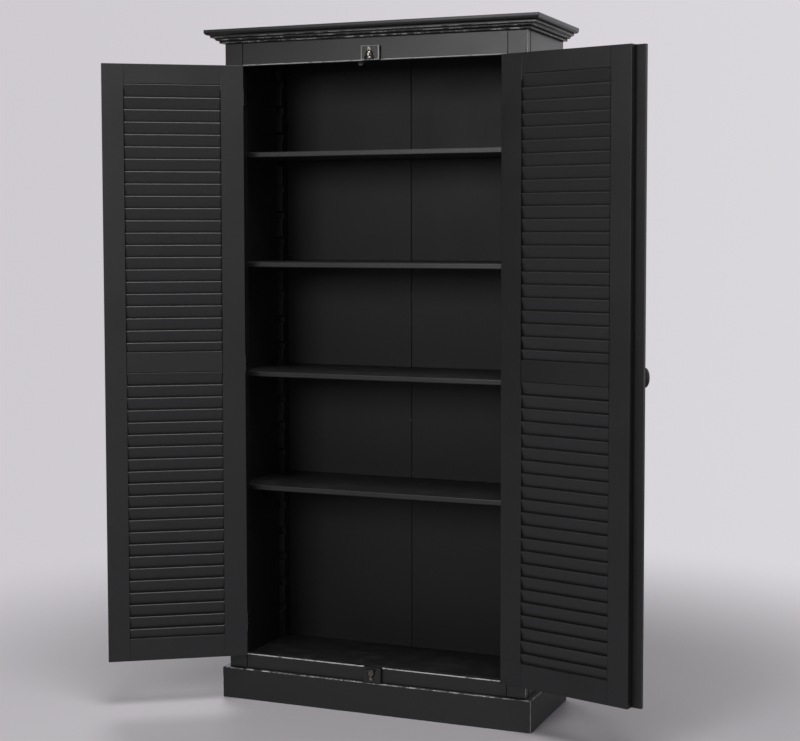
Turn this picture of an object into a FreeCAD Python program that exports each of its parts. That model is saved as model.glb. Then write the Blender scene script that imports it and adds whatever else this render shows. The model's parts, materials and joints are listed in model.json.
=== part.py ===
import FreeCAD, Part
import math
import os
from FreeCAD import Matrix, Placement, Rotation, Vector

# Two-door louvred cabinet, in millimetres, +Z up, front towards -Y.
# Everything is drawn with Y = 0 on the front face of the face frame and with
# the doors closed. Saving turns each door to its rest angle and moves the
# origin to the middle of the carcass, on the floor.

# ---------------------------------------------------------------- driving sizes

# carcass
overall_height = 2000.0
carcass_width = 940.0
carcass_depth = 337.0
side_thickness = 20.0
housing_depth = 6.0
tongue_thickness = 8.0
tongue_length = 8.0

# face frame
face_stile_width = 58.0
opening_bottom = 137.0
frieze_height = 89.0
bottom_rail_height = 97.0
frame_tenon_length = 24.0
frame_tenon_thickness = 8.0
frame_tenon_shoulder = 10.0

# boards
floor_level = 114.0
floor_thickness = 20.0
top_board_thickness = 20.0
bearer_thickness = 20.0
back_thickness = 8.0
back_rebate = 10.0
back_joint_offset = -10.0
back_tongue_length = 6.0
back_tongue_thickness = 3.0
back_joint_chamfer = 1.5

# cornice
cap_thickness = 16.0
cap_projection = 47.0
cap_nosing_radius = 10.0
cap_top_radius = 2.0
cap_back_overhang = 3.0
crown_height = 22.0
crown_projection = 33.0
crown_lip = 6.7
crown_hollow_height = 2.8
crown_hollow_swell = 1.0
crown_fillet_projection = 22.5
crown_fillet_height = 3.2
crown_fillet_step = 1.2
crown_ovolo_foot = 3.0
crown_ovolo_swell = 1.0
crown_quirk = 1.5
crown_bead_projection = 10.5
crown_bead_height = 5.8
crown_bead_lean = 1.5
crown_bead_swell = 2.0

# plinth
plinth_height = 92.5
plinth_thickness = 18.5
plinth_front_projection = 13.0
plinth_edge_radius = 3.5

# shelves and their toothed racks; each drop is from the ceiling or shelf above
shelf_drops = (321.0, 327.0, 328.0, 343.5)
shelf_thickness = 15.5
shelf_setback = 40.0
shelf_edge_radius = 2.5
shelf_side_clearance = 1.0
shelf_back_clearance = 1.0
rack_width = 40.0
rack_thickness = 18.0
rack_clearance = 1.0
notch_depth = 10.0
notch_pitch = 82.0
notches_per_bay = 4
notch_headroom = 1.0
notch_end_margin = 40.0
cleat_height = 18.0
cleat_end_clearance = 0.3

# doors
door_thickness = 24.0
door_gap = 2.0
hinge_stile_width = 67.5
meeting_stile_width = 63.5
door_top_rail = 57.0
door_mid_rail = 59.0
door_bottom_rail = 66.0
mid_rail_centre = 1024.5
door_tenon_length = 20.0
door_tenon_thickness = 8.0
door_tenon_shoulder = 8.0
left_rest_angle = -146.9
right_rest_angle = 164.5

# louvre slats
slats_per_panel = 22
slat_width = 45.0
slat_thickness = 6.0
slat_tilt = 16.0
slat_inset = 0.8
slat_top_clearance = 0.2
slat_top_gap = 2.7
slat_bottom_hidden = 4.5
slat_housing = 6.0
slat_housing_play = 0.1

# butt hinges
hinge_height = 50.0
hinge_top_inset = 93.0
hinge_middle_level = 1018.0
hinge_bottom_inset = 101.0
knuckle_radius = 4.0
knuckle_count = 5
knuckle_play = 0.1
hinge_leaf_thickness = 0.9
hinge_leaf_width = 22.0
hinge_pin_radius = 1.75
running_play = 0.05
pin_tip_radius = 3.2
pin_tip_height = 2.5
hinge_screw_spacing = 15.0
screw_head_radius = 3.0
screw_head_depth = 1.5
screw_shank_radius = 1.5
screw_length = 14.0

# astragal strip on the right door
astragal_thickness = 12.0
astragal_overhang = 26.5
astragal_seat = 24.0
astragal_relief = 0.5
astragal_chamfer = 1.5

# blocks, keepers and the left door's stops
block_width = 56.0
block_offset = 2.0
top_block_height = 41.0
block_chamfer = 1.0
keeper_wall = 1.5
keeper_mouth_gap = 5.0
keeper_mouth_radius = 15.0
keeper_flare_height = 8.0
keeper_flare_swell = 0.9
keeper_straight_height = 6.0
keeper_rod_room = 0.7
keeper_screw_offset = 30.5
keeper_screw_bite = 12.0
keeper_lobe_radius = 5.0
stop_clearance = 0.5
stop_width = 16.0
stop_offset = -43.0
stop_thickness = 2.0
stop_reach = 9.0
stop_height = 33.0
stop_corner_radius = 7.0

# cremone bolt
knob_height_above_floor = 1018.0
bolt_travel = 12.0
rod_radius = 4.0
rod_end_gap = 0.5
rod_standoff = 0.55
case_half_width = 14.5
case_half_height = 30.0
case_depth = 14.0
case_wall = 1.5
case_edge_radius = 2.0
ear_reach = 7.0
ear_thickness = 2.0
ear_screw_height = 18.0
ear_half_height = 5.0
spindle_radius = 3.0
spindle_disc_radius = 11.0
spindle_disc_thickness = 2.0
spindle_disc_gap = 0.3
spindle_stub = 4.0
spindle_socket = 7.0
crank_pin_radius = 1.5
crank_slot_play = 0.5
yoke_thickness = 3.5
yoke_gap = 0.5
yoke_rim = 1.8
yoke_arm_width = 2.5
yoke_bridge_height = 3.5
yoke_bridge_level = 12.0
knob_gap = 0.3
knob_rose_radius = 9.0
knob_rose_thickness = 2.2
knob_neck_radius = 7.0
knob_width = 26.0
knob_depth = 24.0
knob_length = 54.0
knob_centre_reach = 43.0
guide_half_width = 8.0
guide_half_height = 6.0
guide_wall = 1.5
guide_lug_reach = 7.0
guide_lug_thickness = 2.0
guide_end_inset = 60.0
guides_per_rod = 3
short_screw_length = 8.0

# ---------------------------------------------------------------- derived sizes

half_width = carcass_width / 2
inner_half = half_width - side_thickness
opening_half = half_width - face_stile_width
cap_bottom = overall_height - cap_thickness
ceiling_level = cap_bottom - top_board_thickness
opening_top = cap_bottom - frieze_height
shelf_tops = tuple(ceiling_level - sum(shelf_drops[:count + 1]) for count in range(len(shelf_drops)))
frame_thickness = door_thickness + stop_clearance
back_front = carcass_depth - back_thickness
floor_underside = floor_level - floor_thickness
plinth_recess = plinth_thickness - plinth_front_projection
block_thickness = astragal_thickness

door_bottom = opening_bottom + door_gap
door_top = opening_top - door_gap
door_edge = opening_half - door_gap
meeting_edge = door_gap / 2
upper_panel_top = door_top - door_top_rail
upper_panel_bottom = mid_rail_centre + door_mid_rail / 2
lower_panel_top = mid_rail_centre - door_mid_rail / 2
lower_panel_bottom = door_bottom + door_bottom_rail
panel_left = meeting_edge + meeting_stile_width
panel_right = door_edge - hinge_stile_width

hinge_x = opening_half - door_gap / 2
hinge_y = -knuckle_radius
hinge_levels = (door_top - hinge_top_inset, hinge_middle_level, door_bottom + hinge_bottom_inset)

strip_face = -astragal_thickness
rod_y = strip_face - rod_standoff - rod_radius
crank_offset = bolt_travel / 2
axis_z = Vector(0, 0, 1)


# ---------------------------------------------------------------- drawing helpers

def box(x, y, z):
    """Box from three (low, high) pairs."""
    return Part.makeBox(x[1] - x[0], y[1] - y[0], z[1] - z[0], Vector(x[0], y[0], z[0]))


def rod(start, direction, radius, length):
    return Part.makeCylinder(radius, length, Vector(*start), Vector(*direction))


def around(middle, half):
    return (middle - half, middle + half)


def polygon_edges(points):
    closed = points + points[:1]
    return [Part.LineSegment(a, b).toShape() for a, b in zip(closed, closed[1:])]


def prism(points, direction):
    """Solid from a closed polygon of vectors."""
    face = Part.Face(Part.Wire(polygon_edges(points)))
    return face.extrude(Vector(*direction))


def plan_prism(points, z):
    return prism([Vector(x, y, z[0]) for x, y in points], (0, 0, z[1] - z[0]))


def swelling(start, end, rise):
    """Arc between two points whose middle stands off the chord by rise."""
    chord = end - start
    normal = Vector(-chord.z, 0, chord.x).normalize()
    middle = (start + end) * 0.5 + normal * rise
    return Part.Arc(start, middle, end).toShape()


def cut(shape, *tools):
    return shape.cut(Part.makeCompound(list(tools)))


def fuse(shape, *others):
    return shape.multiFuse(list(others)).removeSplitter()


def mirrored(shape):
    """The same piece on the other side of the cabinet."""
    return shape.mirror(Vector(0, 0, 0), Vector(1, 0, 0))


def edges_where(shape, test):
    """Edges whose two ends both pass the test."""
    return [e for e in shape.Edges if all(test(v.Point) for v in e.Vertexes)]


def near(a, b):
    return abs(a - b) < 1e-6


def screw(start, direction, length):
    """Countersunk screw: its head's face is at start and it runs along direction."""
    place, along = Vector(*start), Vector(*direction)
    head = Part.makeCone(screw_head_radius, screw_shank_radius, screw_head_depth, place, along)
    shank = Part.makeCylinder(screw_shank_radius, length, place, along)
    return fuse(head, shank)


def save(name, solids, turn=Placement()):
    """Write one node, with its door's rest turn, in the cabinet's own frame."""
    shape = Part.makeCompound([s.copy() for part in solids for s in part.Solids])
    to_origin = Placement(Vector(0, -carcass_depth / 2, 0), Rotation())
    shape = placed(shape, to_origin.multiply(turn))
    shape.exportStep(os.path.join("parts", name + ".step"))


def placed(shape, placement):
    moved = shape.copy()
    moved.Placement = placement.multiply(moved.Placement)
    return moved


# ---------------------------------------------------------------- carcass

def face_stile(screws):
    stile = box((opening_half, half_width), (0, frame_thickness), (0, cap_bottom))
    plinth_rebate = box((opening_half, half_width), (0, plinth_recess), (0, plinth_height))
    return cut(stile, plinth_rebate, side_tongue(), top_rail(), bottom_rail(), *screws)


def side_tongue():
    middle = half_width - side_thickness / 2
    return box(around(middle, tongue_thickness / 2),
               (frame_thickness - tongue_length, frame_thickness), (0, cap_bottom))


def side_panel():
    panel = box((inner_half, half_width), (frame_thickness, carcass_depth), (0, cap_bottom))
    back = box((inner_half, inner_half + back_rebate), (back_front, carcass_depth),
               (floor_underside, cap_bottom))
    return cut(fuse(panel, side_tongue()), floor_board(), top_board(), back)


def tenoned_rail(low, high):
    """A rail of the face frame with a stub tenon at each end."""
    rail = box(around(0, opening_half), (0, frame_thickness), (low, high))
    tenon = box(around(0, opening_half + frame_tenon_length),
                around(frame_thickness / 2, frame_tenon_thickness / 2),
                (low + frame_tenon_shoulder, high - frame_tenon_shoulder))
    return fuse(rail, tenon)


def top_rail():
    return tenoned_rail(opening_top, cap_bottom)


def bottom_rail():
    low = opening_bottom - bottom_rail_height
    plinth_rebate = box(around(0, opening_half), (0, plinth_recess), (low, plinth_height))
    return cut(tenoned_rail(low, opening_bottom), plinth_rebate)


def floor_board():
    return box(around(0, inner_half + housing_depth), (frame_thickness, back_front),
               (floor_underside, floor_level))


def top_board():
    return box(around(0, inner_half + housing_depth), (frame_thickness, back_front),
               (ceiling_level, cap_bottom))


def floor_bearer():
    """Bearer on the floor, under the middle of the floor board."""
    return box(around(0, bearer_thickness / 2), (frame_thickness, back_front), (0, floor_underside))


def back_panels():
    """Two boards joined by a tongue and groove with eased front corners."""
    edge = inner_half + back_rebate
    levels = (floor_underside, cap_bottom)
    tongue = box((back_joint_offset, back_joint_offset + back_tongue_length),
                 around(back_front + back_thickness / 2, back_tongue_thickness / 2), levels)
    groove = [(back_joint_offset - back_joint_chamfer, back_front),
              (back_joint_offset, back_front + back_joint_chamfer),
              (back_joint_offset + back_joint_chamfer, back_front)]
    vee = plan_prism(groove, levels)
    left = box((-edge, back_joint_offset), (back_front, carcass_depth), levels)
    right = box((back_joint_offset, edge), (back_front, carcass_depth), levels)
    return cut(fuse(left, tongue), vee), cut(right, tongue, vee)


# ---------------------------------------------------------------- cornice and plinth

def cornice_cap():
    side = half_width + cap_projection
    cap = box(around(0, side), (-cap_projection, carcass_depth + cap_back_overhang),
              (cap_bottom, overall_height))

    def on_outside(p):
        return near(p.y, -cap_projection) or near(abs(p.x), side)

    def outer_edge(level):
        rim = edges_where(cap, lambda p: near(p.z, level) and on_outside(p))
        return [e for e in rim if not near(e.CenterOfMass.y, carcass_depth + cap_back_overhang)]

    nosed = cap.makeFillet(cap_nosing_radius, outer_edge(cap_bottom))
    top_rim = [e for e in nosed.Edges
               if near(e.BoundBox.ZMin, overall_height) and near(e.BoundBox.ZMax, overall_height)
               and not near(e.CenterOfMass.y, carcass_depth + cap_back_overhang)]
    return nosed.makeFillet(cap_top_radius, top_rim)


def crown_profile():
    """Edges of the moulding, X outwards from the wall and Z from its foot.

    From the foot up it has a bead, an ovolo, a narrow fillet, a hollow and a flat lip."""
    lip_level = crown_height - crown_lip
    fillet_top_level = lip_level - crown_hollow_height
    fillet_level = fillet_top_level - crown_fillet_height
    quirk_depth = crown_bead_projection + crown_bead_lean
    quirk_level = crown_bead_height + crown_quirk
    wall_foot = Vector(0, 0, 0)
    bead_foot = Vector(crown_bead_projection, 0, 0)
    bead_top = Vector(quirk_depth, 0, crown_bead_height)
    quirk_top = Vector(quirk_depth, 0, quirk_level)
    ovolo_foot = Vector(quirk_depth + crown_ovolo_foot, 0, quirk_level)
    ovolo_top = Vector(crown_fillet_projection - crown_fillet_step, 0, fillet_level)
    fillet_foot = Vector(crown_fillet_projection, 0, fillet_level)
    fillet_top = Vector(crown_fillet_projection, 0, fillet_top_level)
    lip = Vector(crown_projection, 0, lip_level)
    top = Vector(crown_projection, 0, crown_height)
    wall_top = Vector(0, 0, crown_height)

    def line(start, end):
        return Part.LineSegment(start, end).toShape()

    return [line(wall_foot, bead_foot), swelling(bead_foot, bead_top, -crown_bead_swell),
            line(bead_top, quirk_top), line(quirk_top, ovolo_foot),
            swelling(ovolo_foot, ovolo_top, -crown_ovolo_swell), line(ovolo_top, fillet_foot),
            line(fillet_foot, fillet_top), swelling(fillet_top, lip, crown_hollow_swell),
            line(lip, top), line(top, wall_top), line(wall_top, wall_foot)]


def plinth_profile():
    outer, high, ease = plinth_thickness, plinth_height, plinth_edge_radius
    corner = math.sqrt(0.5) * ease
    points = [Vector(0, 0, 0), Vector(outer, 0, 0), Vector(outer, 0, high - ease)]
    ends = [Vector(outer - ease, 0, high), Vector(0, 0, high), Vector(0, 0, 0)]
    bend = Vector(outer - ease + corner, 0, high - ease + corner)
    lines = [Part.LineSegment(a, b).toShape() for a, b in zip(points, points[1:])]
    lines.append(Part.Arc(points[-1], bend, ends[0]).toShape())
    return lines + [Part.LineSegment(a, b).toShape() for a, b in zip(ends, ends[1:])]


def mitred_moulding(profile, level, reach, height, wall_y):
    """Front and right-hand lengths of one moulding, mitred where they meet."""
    face = Part.Face(Part.Wire(profile))
    side_length = carcass_depth + reach
    along_y = face.extrude(Vector(0, side_length, 0))
    side = placed(along_y, Placement(Vector(half_width, wall_y - reach, level), Rotation()))
    side_plan = [(half_width, wall_y), (half_width + reach, wall_y - reach),
                 (half_width + reach, carcass_depth), (half_width, carcass_depth)]
    side = side.common(plan_prism(side_plan, (level, level + height)))

    turn = Rotation(axis_z, -90)
    front_half = half_width + reach
    front = placed(face.extrude(Vector(0, 2 * front_half, 0)),
                   Placement(Vector(-front_half, wall_y, level), turn))
    front_plan = [(-half_width, wall_y), (-front_half, wall_y - reach),
                  (front_half, wall_y - reach), (half_width, wall_y)]
    front = front.common(plan_prism(front_plan, (level, level + height)))
    return front, side


# ---------------------------------------------------------------- shelves

def cleat_seats():
    """Levels on which the four pairs of shelf cleats stand."""
    return [top - shelf_thickness - cleat_height for top in shelf_tops]


def notch_seats():
    """Every notch of a rack: the cleats' own and the free ones between them."""
    seats = cleat_seats()
    levels = [seats[-1]]
    for high, low in zip(seats, seats[1:]):
        step = (high - low) / notches_per_bay
        levels += [low + step * count for count in range(1, notches_per_bay + 1)]
    above = seats[0] + notch_pitch
    while above < ceiling_level - notch_end_margin:
        levels.append(above)
        above += notch_pitch
    below = seats[-1] - notch_pitch
    while below > floor_level + notch_end_margin:
        levels.append(below)
        below -= notch_pitch
    return levels


def notch(level, mouth_y, inward):
    """Flat seat with a rounded tooth above it; inward is +1 or -1 along Y."""
    bottom_y = mouth_y + inward * notch_depth
    roof = level + cleat_height + notch_headroom
    drop = notch_depth * (1 - math.sqrt(0.5))
    seat_in, roof_in = Vector(0, bottom_y, level), Vector(0, bottom_y, roof)
    seat_out = Vector(0, mouth_y, level)
    roof_out = Vector(0, mouth_y, roof + notch_depth)
    curve = Vector(0, mouth_y + inward * drop, roof + drop)
    edges = [Part.LineSegment(seat_out, seat_in).toShape(),
             Part.LineSegment(seat_in, roof_in).toShape(),
             Part.Arc(roof_in, curve, roof_out).toShape(),
             Part.LineSegment(roof_out, seat_out).toShape()]
    face = Part.Face(Part.Wire(edges))
    face.translate(Vector(inner_half - rack_thickness, 0, 0))
    return face.extrude(Vector(rack_thickness, 0, 0))


def rack_lines():
    """Tooth line and notch direction of the front and the rear rack."""
    return ((frame_thickness + rack_width, -1), (back_front - rack_width, 1))


def shelf_racks():
    racks = []
    for mouth_y, inward in rack_lines():
        wall_y = mouth_y + inward * rack_width
        strip = box((inner_half - rack_thickness, inner_half),
                    (min(mouth_y, wall_y), max(mouth_y, wall_y)), (floor_level, ceiling_level))
        racks.append(cut(strip, *[notch(level, mouth_y, inward) for level in notch_seats()]))
    return racks


def shelf_cleats():
    (front_mouth, _), (rear_mouth, _) = rack_lines()
    span = (front_mouth - notch_depth + cleat_end_clearance,
            rear_mouth + notch_depth - cleat_end_clearance)
    return [box((inner_half - rack_thickness, inner_half), span, (seat, seat + cleat_height))
            for seat in cleat_seats()]


def shelf(top):
    half = inner_half - shelf_side_clearance
    board = box(around(0, half), (shelf_setback, back_front - shelf_back_clearance),
                (top - shelf_thickness, top))
    front = edges_where(board, lambda p: near(p.y, shelf_setback))
    board = board.makeFillet(shelf_edge_radius, [e for e in front if e.BoundBox.XLength > half])
    (front_mouth, _), (rear_mouth, _) = rack_lines()
    inset = inner_half - rack_thickness - rack_clearance
    levels = (top - shelf_thickness, top)
    corners = [box((inset, inner_half), (0, front_mouth + rack_clearance), levels),
               box((inset, inner_half), (rear_mouth - rack_clearance, back_front), levels)]
    return cut(board, *corners, *[mirrored(c) for c in corners])


# ---------------------------------------------------------------- blocks, keepers, stops

def catch_block(low, high):
    block = box(around(block_offset, block_width / 2), (-block_thickness, 0), (low, high))
    front = edges_where(block, lambda p: near(p.y, -block_thickness))
    return block.makeChamfer(block_chamfer, front)


def keeper_profile(offset):
    """Half outline of the bell at a distance inside its outer skin; Z from its mouth."""
    throat = rod_standoff + 2 * rod_radius + keeper_rod_room + keeper_wall - offset
    mouth = keeper_mouth_radius - offset
    shoulder = keeper_flare_height + keeper_straight_height
    flare_end = Vector(throat, 0, keeper_flare_height)
    dome_middle = Vector(throat * math.sqrt(0.5), 0, shoulder + throat * math.sqrt(0.5))
    rim, axis_low = Vector(mouth, 0, 0), Vector(0, 0, 0)
    neck, tip = Vector(throat, 0, shoulder), Vector(0, 0, shoulder + throat)
    return [Part.LineSegment(axis_low, rim).toShape(),
            swelling(rim, flare_end, -keeper_flare_swell),
            Part.LineSegment(flare_end, neck).toShape(),
            Part.Arc(neck, dome_middle, tip).toShape(),
            Part.LineSegment(tip, axis_low).toShape()]


def keeper(screws):
    """Half-bell on the block's face: the mouth faces down, a screw lobe stands above."""
    outer, inner = [Part.Face(Part.Wire(keeper_profile(offset))).revolve(
        Vector(0, 0, 0), axis_z, 360) for offset in (0, keeper_wall)]
    lobe = rod((0, -keeper_wall, keeper_screw_offset), (0, 1, 0), keeper_lobe_radius, keeper_wall)
    strap = box(around(0, keeper_lobe_radius), (-keeper_wall, 0), (0, keeper_screw_offset))
    bell = cut(fuse(outer, lobe, strap), inner)
    reach = keeper_mouth_radius + keeper_screw_offset
    front = box(around(0, reach), (-reach, 0), around(0, 2 * reach))
    bell = placed(bell.common(front),
                  Placement(Vector(0, -block_thickness, door_top + keeper_mouth_gap), Rotation()))
    return cut(bell, *screws)


def door_height_mirror(shape):
    """The same piece upside down at the other end of the doors."""
    return shape.mirror(Vector(0, 0, (door_top + door_bottom) / 2), axis_z)


def keeper_screws():
    start = (0, -block_thickness - keeper_wall, door_top + keeper_mouth_gap + keeper_screw_offset)
    upper = screw(start, (0, 1, 0), keeper_wall + block_thickness + keeper_screw_bite)
    return upper, door_height_mirror(upper)


def stop_screw():
    level = opening_top + (stop_height - stop_reach - door_gap) / 2
    return screw((stop_offset, frame_thickness + stop_thickness, level), (0, -1, 0), screw_length)


def door_stop():
    """Flat metal stop behind the top rail: the left door closes against its tongue."""
    low = door_top - stop_reach
    plate = box(around(stop_offset, stop_width / 2),
                (frame_thickness, frame_thickness + stop_thickness), (low, low + stop_height))
    corners = [e for e in plate.Edges if e.BoundBox.YLength > stop_thickness / 2
               and near(e.BoundBox.XLength, 0) and near(e.BoundBox.ZLength, 0)]
    return cut(plate.makeFillet(stop_corner_radius, corners), stop_screw())


# ---------------------------------------------------------------- hinges, right-hand side

def knuckle_span(level, index):
    pitch = hinge_height / knuckle_count
    low = level - hinge_height / 2 + pitch * index
    return (low + knuckle_play, low + pitch - knuckle_play)


def hinge_leaf(level, plate_x, first_knuckle, screws):
    """One leaf with every second knuckle, starting with first_knuckle."""
    plate = box(plate_x, (knuckle_play, hinge_leaf_width), around(level, hinge_height / 2))
    pieces, bores = [], []
    for index in range(first_knuckle, knuckle_count, 2):
        span = knuckle_span(level, index)
        height = span[1] - span[0]
        pieces.append(box(plate_x, (hinge_y, knuckle_play), span))
        pieces.append(rod((hinge_x, hinge_y, span[0]), (0, 0, 1), knuckle_radius, height))
        bores.append(rod((hinge_x, hinge_y, span[0]), (0, 0, 1),
                         hinge_pin_radius + running_play, height))
    return cut(fuse(plate, *pieces), *bores, *screws)


def hinge_pin(level):
    low = level - hinge_height / 2
    tips = [rod((hinge_x, hinge_y, z), (0, 0, 1), pin_tip_radius, pin_tip_height)
            for z in (low - pin_tip_height, low + hinge_height)]
    tips = [t.makeFillet(pin_tip_height / 3, [e for e in t.Edges if len(e.Vertexes) == 1])
            for t in tips]
    return fuse(rod((hinge_x, hinge_y, low), (0, 0, 1), hinge_pin_radius, hinge_height), *tips)


def hinge_screws(level, start_x, direction):
    middle = hinge_leaf_width / 2
    return [screw((start_x, middle, level + step * hinge_screw_spacing), (direction, 0, 0),
                  screw_length) for step in (-1, 0, 1)]


def frame_hinge_screws():
    start = opening_half - hinge_leaf_thickness
    return [s for level in hinge_levels for s in hinge_screws(level, start, 1)]


def door_hinge_screws():
    start = door_edge + hinge_leaf_thickness
    return [s for level in hinge_levels for s in hinge_screws(level, start, -1)]


def frame_leaves():
    plate = (opening_half - hinge_leaf_thickness, opening_half)
    return [hinge_leaf(level, plate, 0, frame_hinge_screws()) for level in hinge_levels]


def door_leaves():
    plate = (door_edge, door_edge + hinge_leaf_thickness)
    return [hinge_leaf(level, plate, 1, door_hinge_screws()) for level in hinge_levels]


# ---------------------------------------------------------------- door, right-hand side

def slat(top_level, panel, length_x, play):
    """One tilted slat with rounded long edges, its top edge at top_level."""
    radius = slat_thickness / 2
    tilt = math.radians(slat_tilt)
    half = slat_width / 2 - radius
    along = Vector(0, math.sin(tilt), math.cos(tilt))
    across = Vector(0, math.cos(tilt), -math.sin(tilt))
    upper = Vector(0, door_thickness - slat_inset - radius, top_level - radius)
    lower = upper - along * (2 * half)
    reach = radius + play
    corners = [upper + across * reach, upper - across * reach,
               lower - across * reach, lower + across * reach]
    edges = [Part.Arc(corners[0], upper + along * reach, corners[1]).toShape(),
             Part.LineSegment(corners[1], corners[2]).toShape(),
             Part.Arc(corners[2], lower - along * reach, corners[3]).toShape(),
             Part.LineSegment(corners[3], corners[0]).toShape()]
    face = Part.Face(Part.Wire(edges))
    face.translate(Vector(length_x[0], 0, 0))
    solid = face.extrude(Vector(length_x[1] - length_x[0], 0, 0))
    if lower.z - reach > panel[0]:
        return solid
    return solid.common(box(length_x, (-slat_width, slat_width), (panel[0], top_level + reach)))


def panel_slats(panel, play=0.0):
    pitch = (panel[1] - panel[0] + slat_bottom_hidden) / slats_per_panel
    length_x = (panel_left - slat_housing, panel_right + slat_housing)
    tops = [panel[1] - slat_top_gap - pitch * index for index in range(slats_per_panel)]
    tops[0] = panel[1] - slat_top_clearance
    return [slat(top, panel, length_x, play) for top in tops]


def louvre_panels():
    return ((upper_panel_bottom, upper_panel_top), (lower_panel_bottom, lower_panel_top))


def door_rail(low, high):
    rail = box((panel_left, panel_right), (0, door_thickness), (low, high))
    tenon = box((panel_left - door_tenon_length, panel_right + door_tenon_length),
                around(door_thickness / 2, door_tenon_thickness / 2),
                (low + door_tenon_shoulder, high - door_tenon_shoulder))
    return fuse(rail, tenon)


def door_rails():
    return {"top_rail": door_rail(upper_panel_top, door_top),
            "mid_rail": door_rail(lower_panel_top, upper_panel_bottom),
            "bottom_rail": door_rail(door_bottom, lower_panel_bottom)}


def door_stiles(hinge_holes):
    levels = (door_bottom, door_top)
    housings = [s for panel in louvre_panels() for s in panel_slats(panel, slat_housing_play)]
    sockets = housings + list(door_rails().values())
    hinge_side = box((panel_right, door_edge), (0, door_thickness), levels)
    meeting_side = box((meeting_edge, panel_left), (0, door_thickness), levels)
    return {"hinge_stile": cut(hinge_side, *sockets, *hinge_holes),
            "meeting_stile": cut(meeting_side, *sockets)}


def door_pieces():
    upper, lower = louvre_panels()
    pieces = {name: [solid] for name, solid in door_rails().items()}
    pieces.update({name: [solid] for name, solid in door_stiles(door_hinge_screws()).items()})
    pieces["upper_slats"] = panel_slats(upper)
    pieces["lower_slats"] = panel_slats(lower)
    pieces["hinge_leaves"] = door_leaves()
    pieces["hinge_screws"] = door_hinge_screws()
    return pieces


# ---------------------------------------------------------------- astragal and cremone bolt

def at_knob(shape):
    return placed(shape, Placement(Vector(0, 0, knob_height_above_floor), Rotation()))


def half_turn(shape):
    """The same piece turned upside down about the knob's axis."""
    middle = Vector(0, 0, knob_height_above_floor)
    return placed(shape, Placement(Vector(), Rotation(Vector(0, 1, 0), 180), middle))


def astragal(screws):
    strip = box((meeting_edge - astragal_overhang - door_gap / 2, meeting_edge + astragal_seat),
                (strip_face, 0), (door_bottom, door_top))
    outer = edges_where(strip, lambda p: near(p.y, strip_face))
    strip = strip.makeChamfer(astragal_chamfer, [e for e in outer if e.BoundBox.ZLength > 1])
    relief = box((-2 * astragal_overhang, meeting_edge), (-astragal_relief, 0),
                 (door_bottom, door_top))
    bearing = at_knob(rod((0, strip_face, 0), (0, 1, 0), spindle_radius + running_play,
                          spindle_stub + spindle_disc_gap))
    return cut(strip, relief, bearing, *screws)


def case_screws():
    reach = case_half_width + ear_reach / 2
    return [at_knob(screw((x, strip_face - ear_thickness, z), (0, 1, 0), short_screw_length))
            for x in (-reach, reach) for z in (-ear_screw_height, ear_screw_height)]


def cremone_case():
    """Case over the crank, open towards the strip, with four screwed ears."""
    shell = box(around(0, case_half_width), (strip_face - case_depth, strip_face),
                around(0, case_half_height))
    front = edges_where(shell, lambda p: near(p.y, strip_face - case_depth))
    shell = shell.makeFillet(case_edge_radius, front)
    hollow = box(around(0, case_half_width - case_wall),
                 (strip_face - case_depth + case_wall, strip_face),
                 around(0, case_half_height - case_wall))
    outer_edge = case_half_width + ear_reach
    ears = [box(around(0, outer_edge), (strip_face - ear_thickness, strip_face),
                around(z, ear_half_height)) for z in (-ear_screw_height, ear_screw_height)]
    rod_way = rod((0, rod_y, -2 * case_half_height), (0, 0, 1), rod_radius + running_play,
                  4 * case_half_height)
    spindle_way = rod((0, strip_face - 2 * case_depth, 0), (0, 1, 0),
                      spindle_radius + running_play, 2 * case_depth)
    case = cut(fuse(shell, *ears), hollow, rod_way, spindle_way)
    return cut(at_knob(case), *case_screws())


def spindle():
    """Shaft, crank disc and the two crank pins that drive the rods."""
    disc_back = strip_face - spindle_disc_gap
    disc_front = disc_back - spindle_disc_thickness
    pin_reach = yoke_gap + yoke_thickness + yoke_gap
    knob_end = strip_face - case_depth - knob_gap - spindle_socket
    disc = rod((0, disc_front, 0), (0, 1, 0), spindle_disc_radius, spindle_disc_thickness)
    shaft = rod((0, knob_end, 0), (0, 1, 0), spindle_radius, disc_front - knob_end)
    stub = rod((0, disc_back, 0), (0, 1, 0), spindle_radius, spindle_stub)
    pins = [rod((side * crank_offset, disc_front - pin_reach, -side * crank_offset), (0, 1, 0),
                crank_pin_radius, pin_reach) for side in (-1, 1)]
    return at_knob(fuse(disc, shaft, stub, *pins))


def upper_rod():
    """Bolt rod with a yoke whose slot the right-hand crank pin pushes up and down."""
    slot_half = crank_pin_radius + crank_slot_play
    slot_x = (crank_offset - slot_half, math.sqrt(2) * crank_offset + slot_half)
    outer_x = slot_x[1] + yoke_arm_width
    inner_x = slot_x[0] - (slot_x[0] - spindle_radius) / 2
    layer_y = around(rod_y, yoke_thickness / 2)
    low, high = -crank_offset - slot_half - yoke_rim, -crank_offset + slot_half + yoke_rim
    bridge_top = yoke_bridge_level + yoke_bridge_height
    yoke = box((inner_x, outer_x), layer_y, (low, high))
    arm = box((slot_x[1], outer_x), layer_y, (low, bridge_top))
    bridge = box((0, outer_x), layer_y, (yoke_bridge_level, bridge_top))
    slot = box(slot_x, layer_y, around(-crank_offset, slot_half))
    length = door_top - rod_end_gap - knob_height_above_floor - yoke_bridge_level
    bar = rod((0, rod_y, yoke_bridge_level), (0, 0, 1), rod_radius, length)
    return at_knob(cut(fuse(yoke, arm, bridge, bar), slot))


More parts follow.
